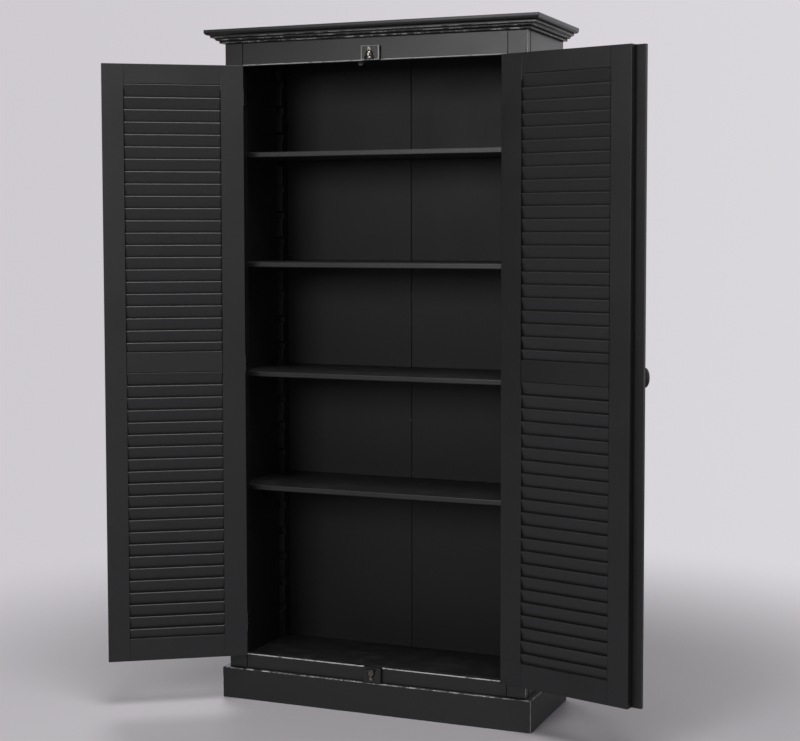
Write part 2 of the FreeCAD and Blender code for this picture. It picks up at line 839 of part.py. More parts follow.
def lower_rod():
    """The upper rod turned upside down and cut to reach the bottom of the door."""
    turned = half_turn(upper_rod())
    reach = box(around(0, case_half_width), around(rod_y, 2 * rod_radius),
                (door_bottom + rod_end_gap, door_top))
    return turned.common(reach)


def knob():
    """Olive knob on a round neck with a small rose, bored for the spindle."""
    base = strip_face - case_depth - knob_gap
    centre = strip_face - knob_centre_reach
    squeeze = Matrix()
    squeeze.scale(knob_width / knob_length, knob_depth / knob_length, 1)
    olive = Part.makeSphere(knob_length / 2).transformGeometry(squeeze)
    olive = placed(olive, Placement(Vector(0, centre, 0), Rotation()))
    rose = rod((0, base - knob_rose_thickness, 0), (0, 1, 0), knob_rose_radius,
               knob_rose_thickness)
    neck = rod((0, centre, 0), (0, 1, 0), knob_neck_radius, base - centre)
    socket = rod((0, base - spindle_socket, 0), (0, 1, 0), spindle_radius, spindle_socket)
    return at_knob(cut(fuse(olive, rose, neck), socket))


def guide_levels():
    """Heights of the rod guides, evenly spaced between the case and each door end."""
    levels = []
    for end, way in ((door_top, -1), (door_bottom, 1)):
        first = end + way * guide_end_inset
        last = knob_height_above_floor - way * (case_half_height + guide_end_inset)
        step = (last - first) / (guides_per_rod - 1)
        levels += [first + step * index for index in range(guides_per_rod)]
    return levels


def guide_screws():
    reach = guide_half_width + guide_lug_reach / 2
    return [screw((x, strip_face - guide_lug_thickness, z), (0, 1, 0), short_screw_length)
            for z in guide_levels() for x in (-reach, reach)]


def rod_guides():
    guides = []
    for level in guide_levels():
        levels = around(level, guide_half_height)
        saddle = box(around(0, guide_half_width),
                     (rod_y - rod_radius - guide_wall, strip_face), levels)
        lugs = box(around(0, guide_half_width + guide_lug_reach),
                   (strip_face - guide_lug_thickness, strip_face), levels)
        way = rod((0, rod_y, levels[0]), (0, 0, 1), rod_radius + running_play,
                  2 * guide_half_height)
        guides.append(cut(fuse(saddle, lugs), way, *guide_screws()))
    return guides


# ---------------------------------------------------------------- the whole cabinet

def rest_turn(side, angle):
    """Turn of a closed door about its hinge pins; side is -1 left or +1 right."""
    return Placement(Vector(), Rotation(axis_z, angle), Vector(side * hinge_x, hinge_y, 0))


def both_sides(solids):
    return list(solids) + [mirrored(s) for s in solids]


def carcass():
    crown_front, crown_right = mitred_moulding(
        crown_profile(), cap_bottom - crown_height, crown_projection, crown_height, 0)
    plinth_front, plinth_right = mitred_moulding(
        plinth_profile(), 0, plinth_thickness, plinth_height, plinth_recess)
    back_left, back_right = back_panels()
    stile, panel = face_stile(frame_hinge_screws()), side_panel()
    upper_keeper_screw, lower_keeper_screw = keeper_screws()
    upper_stop = door_stop()
    top_catch = catch_block(opening_top, opening_top + top_block_height)
    bottom_catch = catch_block(plinth_height, opening_bottom)
    stop_screws = [stop_screw(), door_height_mirror(stop_screw())]
    fixings = [upper_keeper_screw, lower_keeper_screw] + stop_screws
    top_keeper = keeper([upper_keeper_screw])
    nodes = {
        "left_side_panel": [mirrored(panel)],
        "right_side_panel": [panel],
        "left_face_stile": [mirrored(stile)],
        "right_face_stile": [stile],
        "face_top_rail": [cut(top_rail(), *fixings)],
        "face_bottom_rail": [cut(bottom_rail(), *fixings)],
        "floor_board": [floor_board()],
        "top_board": [top_board()],
        "floor_bearer": [floor_bearer()],
        "cornice_cap": [cornice_cap()],
        "crown_front": [crown_front],
        "crown_right": [crown_right],
        "crown_left": [mirrored(crown_right)],
        "plinth_front": [plinth_front],
        "plinth_right": [plinth_right],
        "plinth_left": [mirrored(plinth_right)],
        "back_panel_left": [back_left],
        "back_panel_right": [back_right],
        "shelf_racks": both_sides(shelf_racks()),
        "shelf_cleats": both_sides(shelf_cleats()),
        "top_catch_block": [cut(top_catch, *fixings)],
        "bottom_catch_block": [cut(bottom_catch, *fixings)],
        "top_keeper": [top_keeper],
        "bottom_keeper": [door_height_mirror(top_keeper)],
        "left_door_stops": [upper_stop, door_height_mirror(upper_stop)],
        "catch_screws": fixings,
        "hinge_frame_leaves": both_sides(frame_leaves()),
        "hinge_pins": both_sides([hinge_pin(level) for level in hinge_levels]),
        "hinge_frame_screws": both_sides(frame_hinge_screws()),
    }
    for number, top in enumerate(shelf_tops, 1):
        nodes["shelf_%d" % number] = [shelf(top)]
    return nodes


def right_door_hardware():
    screws = case_screws() + guide_screws()
    return {
        "astragal": [astragal(screws)],
        "cremone_case": [cremone_case()],
        "cremone_screws": screws,
        "rod_guides": rod_guides(),
        "cremone_spindle": [spindle()],
        "cremone_knob": [knob()],
        "upper_bolt_rod": [upper_rod()],
        "lower_bolt_rod": [lower_rod()],
    }


def main():
    os.makedirs("parts", exist_ok=True)
    for name, solids in carcass().items():
        save(name, solids)
    left_turn = rest_turn(-1, left_rest_angle)
    right_turn = rest_turn(1, right_rest_angle)
    for name, solids in door_pieces().items():
        save("right_" + name, solids, right_turn)
        save("left_" + name, [mirrored(s) for s in solids], left_turn)
    for name, solids in right_door_hardware().items():
        save(name, solids, right_turn)


main()
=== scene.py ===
import json
import math
import random

import bmesh
import bpy
from mathutils import Matrix, Vector
from mathutils.bvhtree import BVHTree
from mathutils.geometry import intersect_point_line
from mathutils.kdtree import KDTree


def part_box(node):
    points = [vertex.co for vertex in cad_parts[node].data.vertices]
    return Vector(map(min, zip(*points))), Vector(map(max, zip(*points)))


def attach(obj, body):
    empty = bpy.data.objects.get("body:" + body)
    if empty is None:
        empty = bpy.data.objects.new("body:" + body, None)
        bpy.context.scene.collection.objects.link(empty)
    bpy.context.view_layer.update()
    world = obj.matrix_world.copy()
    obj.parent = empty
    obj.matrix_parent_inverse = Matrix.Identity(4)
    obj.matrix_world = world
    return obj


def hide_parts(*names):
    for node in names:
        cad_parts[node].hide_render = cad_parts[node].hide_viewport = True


# A louvred door cabinet in satin black paint, worn through along its edges.
# Every wooden piece is the CAD solid with its seams welded, its open edges
# rounded and its joints cut in by a hairline; metal pieces get eased edges and
# slotted screws. Lengths are metres.

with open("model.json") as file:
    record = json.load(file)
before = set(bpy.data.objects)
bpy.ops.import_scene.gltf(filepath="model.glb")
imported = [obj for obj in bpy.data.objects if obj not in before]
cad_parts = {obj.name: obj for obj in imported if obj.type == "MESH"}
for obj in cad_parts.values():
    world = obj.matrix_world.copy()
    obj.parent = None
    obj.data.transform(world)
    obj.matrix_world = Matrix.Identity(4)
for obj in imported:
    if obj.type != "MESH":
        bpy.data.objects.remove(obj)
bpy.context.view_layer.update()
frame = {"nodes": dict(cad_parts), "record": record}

BODY_OF = {node: body for body, nodes in frame["record"]["behaviour"]["bodies"].items()
           for node in nodes}
SLOT_OF = {part["node"]: part["material_slot"] for part in frame["record"]["subparts"]}
PAINTED = ("black_paint", "interior_paint")

# ---------------------------------------------------------------- camera and light

CAMERA_PLACE = (1.8477, -4.4088, 1.4130)
# in degrees
CAMERA_TURN = (86.52, 0.075, 22.00)
# lens and sensor in millimetres
CAMERA_LENS = 72.27
CAMERA_SENSOR = 36.0
CAMERA_SHIFT = (-0.0184, -0.0544)

BACKGROUND_LEFT = (0.620, 0.595, 0.635)
BACKGROUND_RIGHT = (0.705, 0.680, 0.715)
AMBIENT = (0.090, 0.090, 0.094)
ROOM_BEHIND = (0.96, 0.94, 0.97)
ROOM_LEFT = (0.14, 0.14, 0.145)
ROOM_RIGHT = (0.60, 0.59, 0.61)
# ray directions over which one tone passes into the next: X, X and Y
BACKGROUND_BLEND = (-0.62, -0.10)
ROOM_SIDE_BLEND = (0.22, 0.38)
ROOM_DEPTH_BLEND = (-0.05, 0.05)

FLOOR_COLOUR = (0.50, 0.475, 0.505)
FLOOR_ROUGHNESS = 0.55
FLOOR_RADIUS = 7.0
FLOOR_SIDES = 96
FLOOR_DROP = 0.0005
# distances from the middle between which the floor fades into the background
FLOOR_FADE = (1.0, 2.6)

LIGHT_AIM = (0.0, 0.0, 1.2)
# name: place, width and height, power
SOFTBOXES = {
    "front": ((-0.90, -5.20, 2.55), (1.6, 1.8), 66.0),
    "front_right": ((-0.10, -5.40, 2.60), (1.2, 1.6), 33.0),
    "overhead": ((0.60, -1.60, 4.80), (2.0, 2.0), 126.0),
    "back_left": ((-2.60, 2.60, 3.60), (1.8, 1.8), 45.0),
}

# ---------------------------------------------------------------- shapes

# seams closer than WELD are closed; angles of flat, smooth and cornered edges
WELD = 1e-5
FLAT = math.radians(0.5)
SHARP = math.radians(38)
CORNER = math.radians(30)

# widths of the rounding on open edges and of the groove along joints
ARRIS_WIDTH = 0.0015
WIDE_ARRIS = 0.0028
WIDE_ARRIS_NODES = ("face_top_rail", "face_bottom_rail")
JOINT_WIDTH = 0.00025
FACE_JOINT_WIDTH = 0.0010
SIDE_JOINT_WIDTH = 0.0028
WIDEST = max(WIDE_ARRIS, SIDE_JOINT_WIDTH)
# shorter edges get no rounding, or no groove
SHORTEST_ARRIS = 0.004
SHORTEST_JOINT = 0.030
BEVEL_STEPS = 3
# pull of large faces on the shading of the roundings beside them
FLAT_WEIGHT = 90

# a face is probed STEP_IN from its edge and LIFT above it, and is open there
# if no neighbour of its body lies within SEAT
STEP_IN = 0.0012
LIFT = 0.0003
SEAT = 0.0006
EDGE_SAMPLES = (0.1, 0.3, 0.5, 0.7, 0.9)
# edges longer than this are probed all along, and cut where a joint begins or ends
LONG_EDGE = 0.60
SPLIT_SPACING = 0.012
SPLIT_HALVINGS = 5
STEADY_REACH = 2

# bevelled faces are traced to their edge by points along it, within its width
# times a slack that covers the corners
TREE_SPACING = 0.004
STRIP_SLACK = 1.35

METAL_EASE = 0.0004
METAL_STEPS = 2
# metal parts that are eased by more or less than the rest
OWN_EASE = {"hinge_frame_leaves": 0.0002, "left_hinge_leaves": 0.0002,
            "right_hinge_leaves": 0.0002, "left_door_stops": 0.0003, "hinge_pins": 0.0003,
            "cremone_knob": 0.0006, "cremone_spindle": 0.0003}

SLOT_WIDTH = 0.0008
SLOT_DEPTH = 0.0008
# length of the cutter in radii of the screw's head, so that it runs out on both sides
SLOT_LENGTH = 2.4
SCREW_TIP_REACH = 4 * METAL_EASE
SCREW_LEVEL_REACH = 10 * WELD

# ---------------------------------------------------------------- wear and grain

# how far the paint is rubbed through along a piece's edges, from 0 to 1;
# the first entry that a name starts with counts
EDGE_WEAR = {
    "face_top_rail": 0.95, "face_bottom_rail": 0.90, "plinth": 0.72, "cornice": 0.30,
    "crown": 0.68, "top_catch": 0.92, "bottom_catch": 0.15, "left_face_stile": 0.30,
    "right_face_stile": 0.86, "shelf_racks": 0.20, "shelf_cleats": 0.20, "shelf": 0.45,
    "astragal": 0.20,
}
DOOR_WEAR = 0.15
SLAT_WEAR = 0.15
PLAIN_WEAR = 0.30
# share of the wear that is left at the border of a rubbed strip
BORDER_WEAR = 0.7
# upward slopes of the plinth's rounded top arris
PLINTH_ARRIS = (0.25, 0.97)
# height of the crown's lowest bead, and the slope of its flat underside
BEAD_HEIGHT = 0.0034
BEAD_UNDERSIDE = -0.97
# material slot of the grooves, which are painted near black as shade in the joints
GROOVE = 1

RANDOM_SEED = 4
# each board shows another part of the grain, up to this far away
GRAIN_SHIFT = 40.0
rng = random.Random(RANDOM_SEED)

# ---------------------------------------------------------------- patterns of the materials

# noise: scale, detail, roughness; a stretch multiplies the place first
CLOUDS = (4.5, 4.0, 0.55)
STREAKS = (1.0, 4.0, 0.6)
STREAK_STRETCH = (9.0, 170.0, 170.0)
PORES = (1.0, 2.0, 0.6)
PORE_STRETCH = (60.0, 1100.0, 1100.0)
FILM = (700.0, 2.0, 0.5)
RUBBED_PATCHES = (38.0, 4.0, 0.65)
RUBBED_FLECKS = (310.0, 3.0, 0.6)
DUST_PATCHES = (22.0, 5.0, 0.7)

# how much each pattern adds to a value, and the range that the value is mapped from
PAINT_TONE = {"clouds": 1.0, "streaks": 0.35}
PAINT_TONE_RANGE = (0.35, 0.95)
PAINT_SHADES = (0.86, 1.16)
PAINT_RUB = {"patches": 0.85, "flecks": 0.45, "wear": 0.75}
PAINT_RUB_RANGE = (0.98, 1.12)
RUBBED_EDGE_RANGE = (0.01, 0.05)
PAINT_ROUGHNESS = {"clouds": 0.16, "streaks": 0.08, "rubbed": 0.12}
PAINT_ROUGHNESS_BASE = -0.08
PAINT_RELIEF = {"pores": 0.25, "streaks": 0.7, "film": 0.12, "rubbed": -0.6}
# strength and depth
PAINT_BUMP = (0.35, 0.0004)

WORN_PAINT = (0.46, 0.45, 0.44)
WORN_SHADES = (0.75, 1.2)
DUST_COLOUR = (0.30, 0.29, 0.28)
DUST_SLOPE_RANGE = (0.6, 1.0)
DUST_PATCH_RANGE = (0.42, 0.75)

# painted shade in the corners and creases between boards and mouldings, by how enclosed the
# spot is
CREASE_REACH = 0.006
CREASE_SAMPLES = 8
CREASE_SHADE_RANGE = (0.60, 0.92)
CREASE_SHADE_COLOUR = (0.0015, 0.0015, 0.0015)

STEEL_PATCHES = (160.0, 5.0, 0.65)
STEEL_SPECKS = (900.0, 3.0, 0.6)
BRUSHING = (1.0, 2.0, 0.5)
BRUSHING_STRETCH = (2400.0, 2400.0, 160.0)
STEEL_TONE = {"patches": 1.0, "specks": 0.4}
STEEL_TONE_RANGE = (0.48, 0.92)
STEEL_ROUGHNESS = {"tone": -0.16, "brushing": 0.10}
STEEL_ROUGHNESS_BASE = 0.12
STEEL_RELIEF = {"patches": 1.0, "brushing": 0.3}
STEEL_BUMP = (0.25, 0.0003)

IRON_CAST = (420.0, 4.0, 0.6)
IRON_CLOUDS = (60.0, 4.0, 0.6)
IRON_RUBBED_RANGE = (0.56, 0.80)
IRON_RUBBED = (0.040, 0.037, 0.034)
IRON_RUBBED_METALLIC = 0.5
IRON_ROUGHNESS = {"clouds": 0.22}
IRON_ROUGHNESS_BASE = 0.36
IRON_BUMP = (0.3, 0.0003)

# specks and colour spread of the painted shade in the joint grooves
JOINT_SHADE_SPECKS = (800.0, 2.0, 0.5)
JOINT_SHADE_SPREAD = (0.6, 1.8)


# ---------------------------------------------------------------- camera and lights

def add_camera():
    data = bpy.data.cameras.new("camera")
    data.sensor_width = CAMERA_SENSOR
    data.lens = CAMERA_LENS
    data.shift_x, data.shift_y = CAMERA_SHIFT
    camera = bpy.data.objects.new("camera", data)
    camera.location = CAMERA_PLACE
    camera.rotation_euler = [math.radians(a) for a in CAMERA_TURN]
    bpy.context.scene.collection.objects.link(camera)
    bpy.context.scene.camera = camera


def add_area_light(name, place, size, power):
    data = bpy.data.lights.new(name, "AREA")
    data.shape = "RECTANGLE"
    data.size, data.size_y = size
    data.energy = power
    light = bpy.data.objects.new(name, data)
    light.location = place
    towards = Vector(LIGHT_AIM) - Vector(place)
    light.rotation_euler = towards.to_track_quat("-Z", "Y").to_euler()
    bpy.context.scene.collection.objects.link(light)


# ---------------------------------------------------------------- shader helpers

def rgba(colour):
    return (*colour, 1.0)


class Nodes:
    """Adds shader nodes to one tree. Inputs go by name, or by number as i0, i1, i2."""

    def __init__(self, tree):
        self.tree = tree

    def add(self, kind, settings=(), **inputs):
        node = self.tree.nodes.new("ShaderNode" + kind)
        for key, value in dict(settings).items():
            setattr(node, key, value)
        for key, value in inputs.items():
            self.put(node, key.replace("_", " "), value)
        return node

    def put(self, node, key, value):
        by_number = key[0] == "i" and key[1:].isdigit()
        socket = node.inputs[int(key[1:]) if by_number else key]
        if isinstance(value, bpy.types.NodeSocket):
            self.tree.links.new(value, socket)
        else:
            socket.default_value = value

    def math(self, operation, first, second=0.0, third=0.0):
        node = self.add("Math", {"operation": operation}, i0=first, i1=second, i2=third)
        return node.outputs[0]

    def total(self, base, weights, patterns):
        """The base plus each named pattern times its weight."""
        for name, weight in weights.items():
            base = self.math("MULTIPLY_ADD", patterns[name], weight, base)
        return base

    def ramp(self, value, low, high):
        """A smooth step from 0 at the low value to 1 at the high one."""
        node = self.add("MapRange", {"interpolation_type": "SMOOTHSTEP"}, Value=value,
                        From_Min=low, From_Max=high)
        return node.outputs[0]

    def mix(self, factor, first, second):
        node = self.add("Mix", {"data_type": "RGBA"}, i0=factor, i6=first, i7=second)
        return node.outputs[2]

    def shades(self, factor, colour, spread):
        """One colour from its darker to its paler shade."""
        dark, pale = [rgba([c * share for c in colour]) for share in spread]
        return self.mix(factor, dark, pale)

    def noise(self, place, scale, detail, roughness):
        node = self.add("TexNoise", Vector=place, Scale=scale, Detail=detail,
                        Roughness=roughness)
        return node.outputs[0]

    def scaled(self, place, scale):
        node = self.add("VectorMath", {"operation": "MULTIPLY"}, i0=place, i1=scale)
        return node.outputs[0]

    def bump(self, height, strength, distance):
        node = self.add("Bump", Strength=strength, Distance=distance, Height=height)
        return node.outputs[0]


def new_material(name):
    material = bpy.data.materials.new(name)
    material.use_nodes = True
    return material, Nodes(material.node_tree), material.node_tree.nodes["Principled BSDF"]


def finished_mesh(bm, name):
    """The mesh of a bmesh, which is freed."""
    mesh = bpy.data.meshes.new(name)
    bm.to_mesh(mesh)
    bm.free()
    return mesh


# ---------------------------------------------------------------- world and floor

def seen_directly(nodes):
    """1 on camera, mirror and glass rays, 0 on rays that light the object."""
    path = nodes.add("LightPath")
    seen = nodes.math("MAXIMUM", path.outputs["Is Camera Ray"], path.outputs["Is Glossy Ray"])
    return nodes.math("MAXIMUM", seen, path.outputs["Is Transmission Ray"])


def background_colour(nodes, direction):
    """The pale wall as the camera sees it, a little brighter towards the right."""
    axes = nodes.add("SeparateXYZ", Vector=direction)
    return nodes.mix(nodes.ramp(axes.outputs["X"], *BACKGROUND_BLEND),
                     rgba(BACKGROUND_LEFT), rgba(BACKGROUND_RIGHT))


def make_world():
    """Pale background, and the room that the gloss reflects: pale behind the cabinet,
    brighter on the right of the camera than on the left."""
    world = bpy.data.worlds.new("studio")
    bpy.context.scene.world = world
    world.use_nodes = True
    nodes = Nodes(world.node_tree)
    background = world.node_tree.nodes["Background"]
    direction = nodes.add("TexCoord").outputs["Generated"]
    axes = nodes.add("SeparateXYZ", Vector=direction)
    before = nodes.mix(nodes.ramp(axes.outputs["X"], *ROOM_SIDE_BLEND),
                       rgba(ROOM_LEFT), rgba(ROOM_RIGHT))
    room = nodes.mix(nodes.ramp(axes.outputs["Y"], *ROOM_DEPTH_BLEND), before,
                     rgba(ROOM_BEHIND))
    camera_ray = nodes.add("LightPath").outputs["Is Camera Ray"]
    pale = nodes.mix(camera_ray, room, background_colour(nodes, direction))
    colour = nodes.mix(seen_directly(nodes), rgba(AMBIENT), pale)
    world.node_tree.links.new(colour, background.inputs["Color"])


def make_floor():
    """Pale disc that keeps the shadow near the cabinet and fades into the background."""
    bm = bmesh.new()
    bmesh.ops.create_circle(bm, cap_ends=True, radius=FLOOR_RADIUS, segments=FLOOR_SIDES)
    floor = bpy.data.objects.new("floor", finished_mesh(bm, "floor"))
    floor.location.z = -FLOOR_DROP
    bpy.context.scene.collection.objects.link(floor)

    material, nodes, surface = new_material("floor")
    surface.inputs["Base Color"].default_value = rgba(FLOOR_COLOUR)
    surface.inputs["Roughness"].default_value = FLOOR_ROUGHNESS
    place = nodes.add("TexCoord").outputs["Object"]
    distance = nodes.add("VectorMath", {"operation": "LENGTH"}, i0=place).outputs["Value"]
    fade = nodes.ramp(distance, *FLOOR_FADE)
    camera_ray = nodes.add("LightPath").outputs["Is Camera Ray"]
    towards = nodes.add("VectorMath", {"operation": "SUBTRACT"}, i0=place, i1=CAMERA_PLACE)
    direction = nodes.add("VectorMath", {"operation": "NORMALIZE"}, i0=towards.outputs[0])
    pale = background_colour(nodes, direction.outputs[0])
    glow = nodes.add("Emission", Color=pale, Strength=1.0)
    blend = nodes.add("MixShader", i0=nodes.math("MULTIPLY", fade, camera_ray),
                      i1=surface.outputs[0], i2=glow.outputs[0])
    output = material.node_tree.nodes["Material Output"]
    material.node_tree.links.new(blend.outputs[0], output.inputs["Surface"])
    floor.data.materials.append(material)


# ---------------------------------------------------------------- materials

def painted_wood(name, colour, roughness, gloss, dust):
    """Brushed black paint over wood. The grain attribute runs along each board and
    the wear attribute says how far its edges are rubbed through."""
    material, nodes, surface = new_material(name)
    surface.inputs["Specular IOR Level"].default_value = gloss
    grain = nodes.add("Attribute", {"attribute_name": "grain"}).outputs["Vector"]
    patterns = {
        "wear": nodes.add("Attribute", {"attribute_name": "wear"}).outputs["Fac"],
        "clouds": nodes.noise(grain, *CLOUDS),
        "streaks": nodes.noise(nodes.scaled(grain, STREAK_STRETCH), *STREAKS),
        "pores": nodes.noise(nodes.scaled(grain, PORE_STRETCH), *PORES),
        "film": nodes.noise(grain, *FILM),
        "patches": nodes.noise(grain, *RUBBED_PATCHES),
        "flecks": nodes.noise(grain, *RUBBED_FLECKS),
    }
    tone = nodes.ramp(nodes.total(0.0, PAINT_TONE, patterns), *PAINT_TONE_RANGE)
    paint = nodes.shades(tone, colour, PAINT_SHADES)

    through = nodes.ramp(nodes.total(0.0, PAINT_RUB, patterns), *PAINT_RUB_RANGE)
    on_edge = nodes.ramp(patterns["wear"], *RUBBED_EDGE_RANGE)
    patterns["rubbed"] = nodes.math("MULTIPLY", through, on_edge)
    bare = nodes.shades(patterns["flecks"], WORN_PAINT, WORN_SHADES)
    painted = nodes.mix(patterns["rubbed"], paint, bare)

    normal = nodes.add("SeparateXYZ", Vector=nodes.add("NewGeometry").outputs["Normal"])
    settled = nodes.math("MULTIPLY", nodes.ramp(normal.outputs["Z"], *DUST_SLOPE_RANGE),
                         nodes.ramp(nodes.noise(grain, *DUST_PATCHES), *DUST_PATCH_RANGE))
    dusty = nodes.mix(nodes.math("MULTIPLY", settled, dust), painted, rgba(DUST_COLOUR))
    # painted shade: the colour turns near black and the paint rough where ambient occlusion
    # finds the spot enclosed
    crease = nodes.add("AmbientOcclusion", {"samples": CREASE_SAMPLES}, Distance=CREASE_REACH)
    open_air = nodes.ramp(crease.outputs["AO"], *CREASE_SHADE_RANGE)
    nodes.put(surface, "Base Color", nodes.mix(open_air, rgba(CREASE_SHADE_COLOUR), dusty))

    rough = nodes.total(roughness + PAINT_ROUGHNESS_BASE, PAINT_ROUGHNESS, patterns)
    closed = nodes.math("SUBTRACT", 1.0, open_air)
    nodes.put(surface, "Roughness", nodes.math("MAXIMUM", closed, rough))

    relief = nodes.total(0.0, PAINT_RELIEF, patterns)
    nodes.put(surface, "Normal", nodes.bump(relief, *PAINT_BUMP))
    return material


def antique_steel(name, dark, bright, roughness):
    """Steel darkened and rubbed bright in random patches, with fine brushing."""
    material, nodes, surface = new_material(name)
    surface.inputs["Metallic"].default_value = 1.0
    place = nodes.add("TexCoord").outputs["Object"]
    patterns = {
        "patches": nodes.noise(place, *STEEL_PATCHES),
        "specks": nodes.noise(place, *STEEL_SPECKS),
        "brushing": nodes.noise(nodes.scaled(place, BRUSHING_STRETCH), *BRUSHING),
    }
    tone = nodes.ramp(nodes.total(0.0, STEEL_TONE, patterns), *STEEL_TONE_RANGE)
    patterns["tone"] = tone
    nodes.put(surface, "Base Color", nodes.mix(tone, rgba(dark), rgba(bright)))
    rough = nodes.total(roughness + STEEL_ROUGHNESS_BASE, STEEL_ROUGHNESS, patterns)
    nodes.put(surface, "Roughness", rough)
    relief = nodes.total(0.0, STEEL_RELIEF, patterns)
    nodes.put(surface, "Normal", nodes.bump(relief, *STEEL_BUMP))
    return material


def black_iron(name, colour):
    """Cast iron under thin black lacquer, rubbed to brown metal in random patches."""
    material, nodes, surface = new_material(name)
    place = nodes.add("TexCoord").outputs["Object"]
    cast = nodes.noise(place, *IRON_CAST)
    clouds = nodes.noise(place, *IRON_CLOUDS)
    rubbed = nodes.ramp(clouds, *IRON_RUBBED_RANGE)
    nodes.put(surface, "Base Color", nodes.mix(rubbed, rgba(colour), rgba(IRON_RUBBED)))
    nodes.put(surface, "Metallic", nodes.math("MULTIPLY", rubbed, IRON_RUBBED_METALLIC))
    rough = nodes.total(IRON_ROUGHNESS_BASE, IRON_ROUGHNESS, {"clouds": clouds})
    nodes.put(surface, "Roughness", rough)
    nodes.put(surface, "Normal", nodes.bump(cast, *IRON_BUMP))
    return material


def paint_joint_shade(name, colour):
    """Matt near-black paint in the hairline between two boards: painted shade for the joint's
    gap.
    """
    material, nodes, surface = new_material(name)
    place = nodes.add("TexCoord").outputs["Object"]
    specks = nodes.noise(place, *JOINT_SHADE_SPECKS)
    nodes.put(surface, "Base Color", nodes.shades(specks, colour, JOINT_SHADE_SPREAD))
    surface.inputs["Roughness"].default_value = 1.0
    surface.inputs["Specular IOR Level"].default_value = 0.0
    return material


MATERIALS = {
    "black_paint": painted_wood("satin_black_paint", (0.0078, 0.0075, 0.0081),
                                roughness=0.36, gloss=0.50, dust=0.10),
    "interior_paint": painted_wood("inside_black_paint", (0.0064, 0.0062, 0.0066),
                                   roughness=0.52, gloss=0.34, dust=0.05),
    "shelf_paint": painted_wood("shelf_black_paint", (0.0085, 0.0082, 0.0088),
                                roughness=0.38, gloss=0.55, dust=0.05),
    "slat_paint": painted_wood("slat_black_paint", (0.0085, 0.0082, 0.0088),
                               roughness=0.38, gloss=0.60, dust=0.10),
    "black_iron": black_iron("black_iron", (0.009, 0.009, 0.0095)),
    "antique_steel": antique_steel("antique_steel", (0.034, 0.029, 0.026),
                                   (0.27, 0.25, 0.23), roughness=0.20),
    "screw_steel": antique_steel("screw_steel", (0.10, 0.095, 0.09),
                                 (0.34, 0.33, 0.31), roughness=0.30),
    "dull_steel": antique_steel("dull_steel", (0.016, 0.015, 0.014),
                                (0.075, 0.070, 0.066), roughness=0.42),
}
JOINT_SHADE_PAINT = paint_joint_shade("paint_joint_shade", (0.002, 0.0019, 0.0018))

# pieces whose finish differs from the rest of their slot; the plinth's right side takes the
# darker, duller inside paint as painted shade
OWN_FINISH_AND_SHADE = {"left_door_stops": "dull_steel", "plinth_right": "interior_paint"}


def material_of(node):
    if node.startswith("shelf_"):
        return MATERIALS["shelf_paint"]
    if node.endswith("slats"):
        return MATERIALS["slat_paint"]
    return MATERIALS[OWN_FINISH_AND_SHADE.get(node, SLOT_OF[node])]


# ---------------------------------------------------------------- what touches what

def bare_mesh(node):
    """The node's solid with its seams welded and its flat faces merged."""
    bm = bmesh.new()
    bm.from_mesh(frame["nodes"][node].data)
    bmesh.ops.remove_doubles(bm, verts=bm.verts, dist=WELD)
    bmesh.ops.dissolve_limit(bm, angle_limit=FLAT, verts=bm.verts, edges=bm.edges)
    bm.normal_update()
    return bm


def search_trees():
    """For each node a tree of its surface, and its box widened by the seating distance."""
    trees = {}
    margin = Vector((SEAT, SEAT, SEAT))
    for node in frame["nodes"]:
        bm = bmesh.new()
        bm.from_mesh(frame["nodes"][node].data)
        low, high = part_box(node)
        trees[node] = (BVHTree.FromBMesh(bm), low - margin, high + margin)
        bm.free()
    return trees


TREES = search_trees()


def covered(point, node):
    """True where another piece of the same body seats against this point."""
    for other, (tree, low, high) in TREES.items():
        if other == node or BODY_OF[other] != BODY_OF[node]:
            continue
        inside = all(low[axis] <= point[axis] <= high[axis] for axis in range(3))
        if inside and tree.find_nearest(point, SEAT)[0] is not None:
            return True
    return False


def shows_at(loop, share, node):
    """True if the face beside this loop's edge is open at one share of its length."""
    start, end = loop.vert.co, loop.link_loop_next.vert.co
    normal = loop.face.normal
    inward = normal.cross((end - start).normalized()) * STEP_IN
    return not covered(start.lerp(end, share) + inward + normal * LIFT, node)


def face_shows(loop, node):
    """True where the face beside this loop's edge is open along most of it."""
    seen = [shows_at(loop, share, node) for share in EDGE_SAMPLES]
    return sum(seen) * 2 > len(seen)


def is_corner(edge):
    return edge.is_manifold and edge.is_convex and edge.calc_face_angle() > CORNER


def open_sides(edge, share, node):
    """Which of an edge's two faces are open, at one share of its first loop's length."""
    first, second = edge.link_loops
    return shows_at(first, share, node), shows_at(second, 1.0 - share, node)


def steady(states):
    """Each state replaced by the most common one around it."""
    found = []
    for index in range(len(states)):
        near = states[max(0, index - STEADY_REACH):index + STEADY_REACH + 1]
        found.append(max(near, key=near.count))
    return found


def changes(edge, node):
    """Shares of the edge's length where a neighbour starts or stops covering a face."""
    steps = math.ceil(edge.calc_length() / SPLIT_SPACING)
    shares = [(step + 0.5) / steps for step in range(steps)]
    states = steady([open_sides(edge, share, node) for share in shares])
    found = []
    for low, high, before, after in zip(shares, shares[1:], states, states[1:]):
        if before == after:
            continue
        for _ in range(SPLIT_HALVINGS):
            middle = (low + high) / 2
            if open_sides(edge, middle, node) == before:
                low = middle
            else:
                high = middle
        found.append((low + high) / 2)
    return found


def split_long_edges(bm, node):
    """Cuts long corners where they pass from open air into a joint."""
    for edge in [e for e in bm.edges if is_corner(e) and e.calc_length() > LONG_EDGE]:
        first = edge.link_loops[0]
        start, end = first.vert, first.link_loop_next.vert
        places = [start.co.lerp(end.co, share) for share in changes(edge, node)]
        for place in reversed(places):
            share = (place - start.co).length / edge.calc_length()
            piece, middle = bmesh.utils.edge_split(edge, start, share)
            middle.co = place
            edge = piece if start in piece.verts else edge


